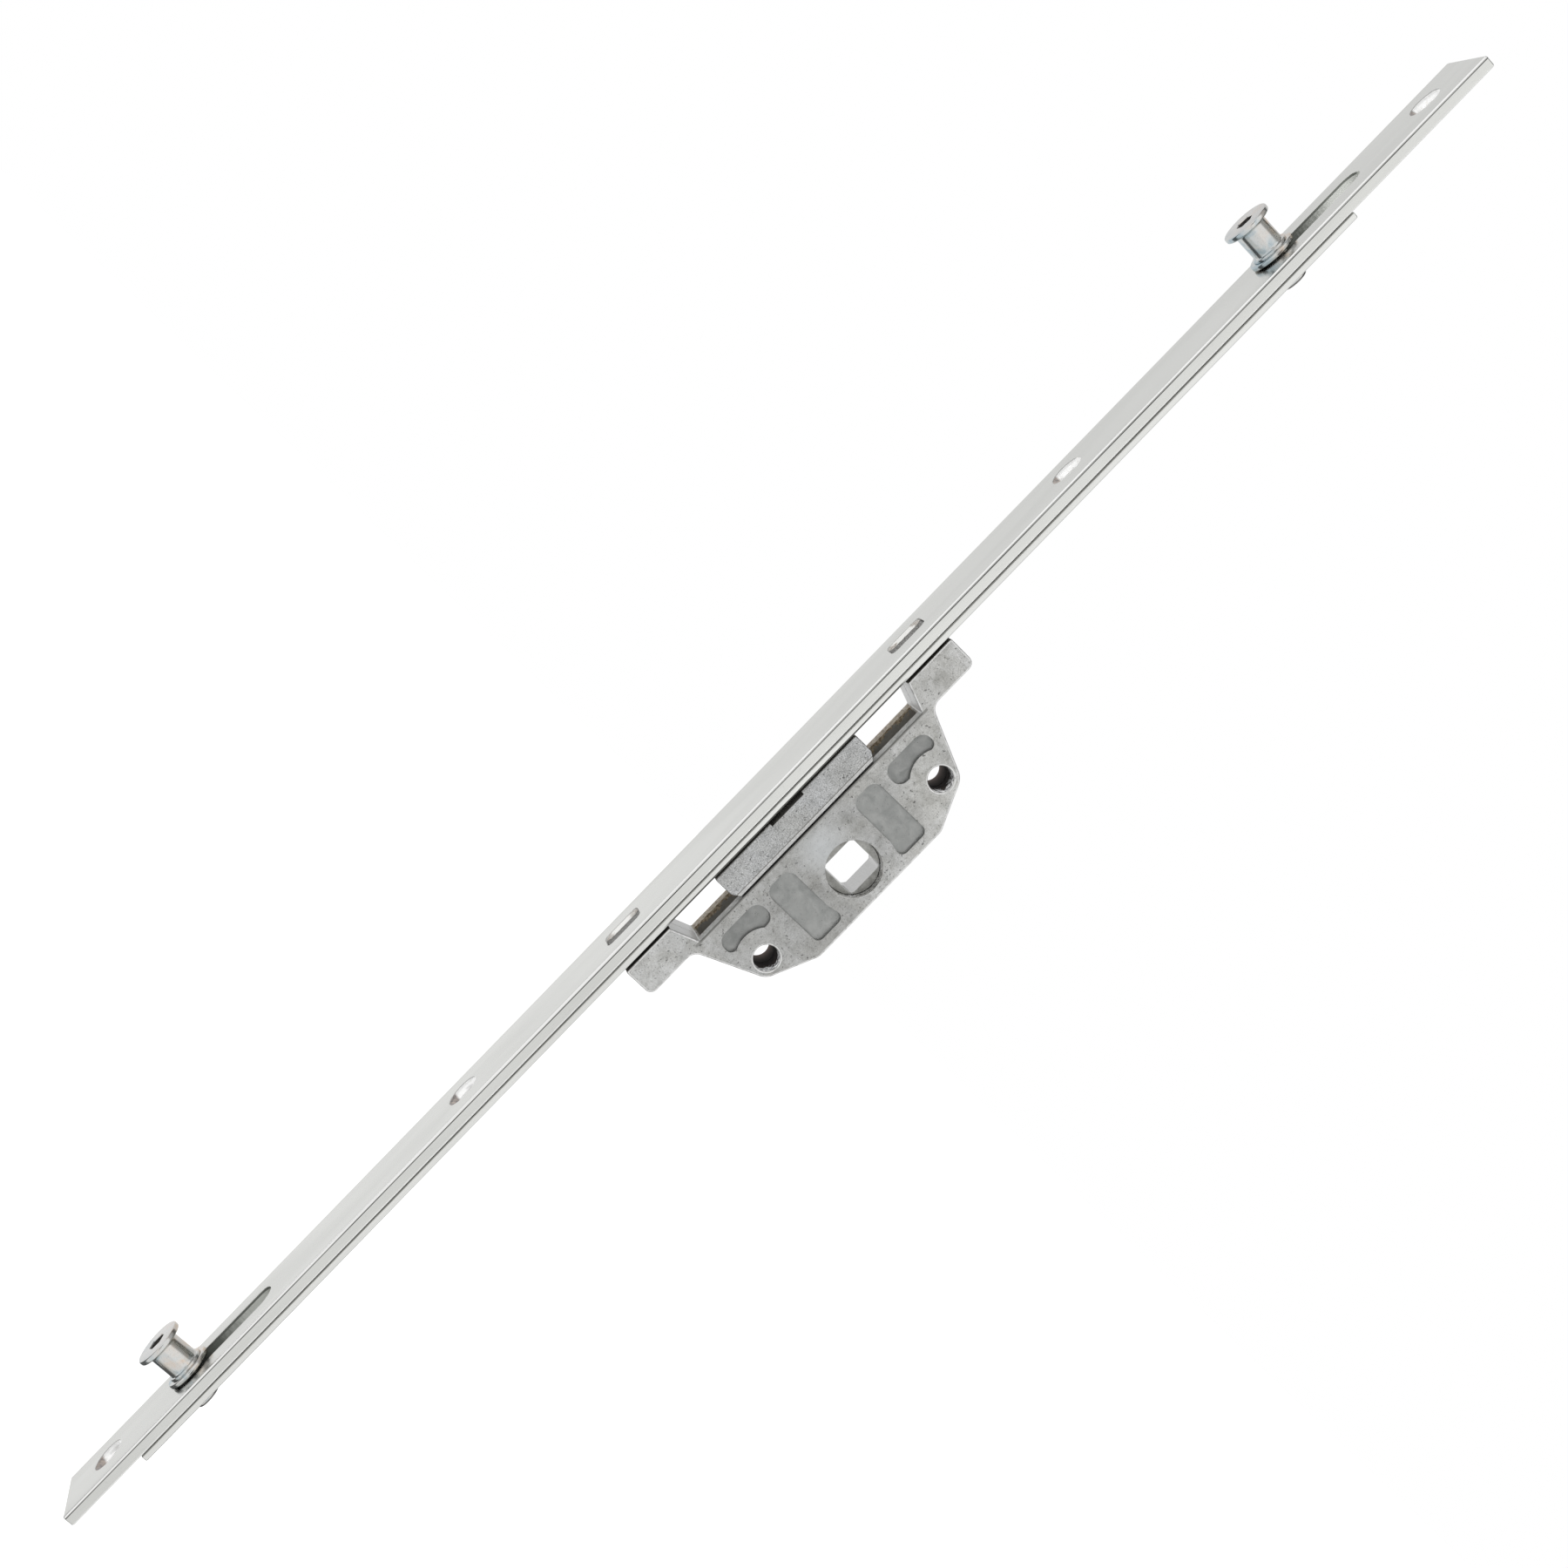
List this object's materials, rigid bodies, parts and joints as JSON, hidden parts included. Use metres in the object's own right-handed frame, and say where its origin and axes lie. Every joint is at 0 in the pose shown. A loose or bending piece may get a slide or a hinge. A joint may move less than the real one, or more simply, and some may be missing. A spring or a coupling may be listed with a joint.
{
  "type": "window_espagnolette_gearbox",
  "caption": "Slim steel faceplate with a sliding drive rail, eccentric mushroom cams and a die-cast spindle gear case that drives a toothed shuttle.",
  "frame": {"origin": "on the faceplate's front face, level with the spindle axis", "axes": "+Z runs along the faceplate to the end at the picture's upper right, +X from the faceplate's front into the sash towards the gear case, +Y across the sash away from the handle side, so the picture's camera looks along +Y"},
  "size_m": [0.0353, 0.016, 0.346],
  "materials": {
    "plated_steel": "satin zinc plate",
    "rail_steel": "satin zinc plate",
    "cam_steel": "bright nickel plate",
    "gear_steel": "sintered steel",
    "case_zinc": "raw zinc die casting",
    "shuttle_zinc": "raw zinc die casting"
  },
  "bodies": {
    "frame": {"faceplate": "plated_steel", "front_case": "case_zinc", "rear_case": "case_zinc"},
    "drive": {"drive_rail": "rail_steel", "rack_shuttle": "shuttle_zinc"},
    "spindle": {"spindle_gear": "gear_steel"},
    "lower_cam": {"lower_cam": "cam_steel"},
    "upper_cam": {"upper_cam": "cam_steel"}
  },
  "joints": [
    {"name": "drive_slide", "type": "slide", "parent": "frame", "child": "drive", "axis": [0, 0, 1], "range_m": [0, 0.0106]},
    {"name": "spindle_turn", "type": "hinge", "parent": "frame", "child": "spindle", "pos_m": [0.0208, 0, 0], "axis": [0, 1, 0], "range_deg": [0, 90]},
    {"name": "lower_cam_turn", "type": "hinge", "parent": "drive", "child": "lower_cam", "pos_m": [0, 0, -0.14345], "axis": [1, 0, 0], "continuous": true},
    {"name": "upper_cam_turn", "type": "hinge", "parent": "drive", "child": "upper_cam", "pos_m": [0, 0, 0.12565], "axis": [1, 0, 0], "continuous": true}
  ],
  "couplings": [
    {"joint": "spindle_turn", "follows": "drive_slide", "rad_per_m": 148.15}
  ]
}
